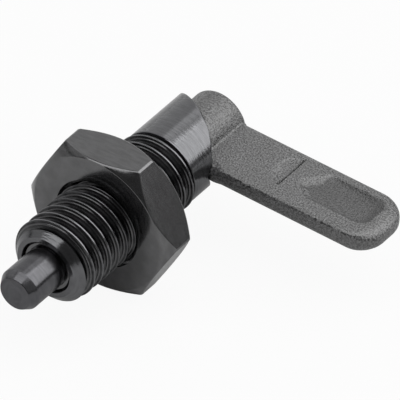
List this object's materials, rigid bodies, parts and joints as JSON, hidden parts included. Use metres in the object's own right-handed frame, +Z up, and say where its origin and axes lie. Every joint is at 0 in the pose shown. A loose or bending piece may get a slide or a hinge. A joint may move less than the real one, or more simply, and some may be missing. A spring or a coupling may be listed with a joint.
{
  "type": "indexing plunger",
  "caption": "Cam-action indexing plunger: a threaded steel housing with a lock nut, a spring-loaded pin at the front and a flat cast lever that lifts the pin up a sloping rim.",
  "frame": {"origin": "on the plunger axis, in the plane of the housing's front end face, where the pin comes out", "axes": "+Y along the plunger axis from the pin towards the lever, +X the way the lever points at rest, +Z up, square to the lever's broad face"},
  "size_m": [0.0355, 0.0376, 0.0176],
  "materials": {
    "black_steel": "turned, black-oxidised, satin",
    "black_pin": "hardened, ground, black-oxidised",
    "bright_steel": "plain spring steel",
    "cast_grey": "die-cast, fine textured dark grey coating"
  },
  "bodies": {
    "housing": {"housing": "black_steel", "guide_bush": "black_steel", "spring": "bright_steel"},
    "lock_nut": {"lock_nut": "black_steel"},
    "spring_washer": {"thrust_washer": "bright_steel"},
    "plunger": {"plunger_pin": "black_pin", "lever": "cast_grey", "cross_pin": "bright_steel"}
  },
  "joints": [
    {"name": "pin_lift", "type": "slide", "parent": "housing", "child": "spring_washer", "axis": [0, 1, 0], "range_m": [0, 0.0085], "stiffness_N_per_m": 700, "springref_m": -0.0086, "deforming": ["spring"]},
    {"name": "lever_turn", "type": "hinge", "parent": "spring_washer", "child": "plunger", "pos_m": [0, 0, 0], "axis": [0, -1, 0], "range_deg": [0, 180]},
    {"name": "nut_travel", "type": "slide", "parent": "housing", "child": "lock_nut", "axis": [0, 1, 0], "range_m": [-0.0075, 0.006]}
  ],
  "couplings": [
    {"joint": "lever_turn", "follows": "pin_lift", "rad_per_m": 369.5}
  ]
}
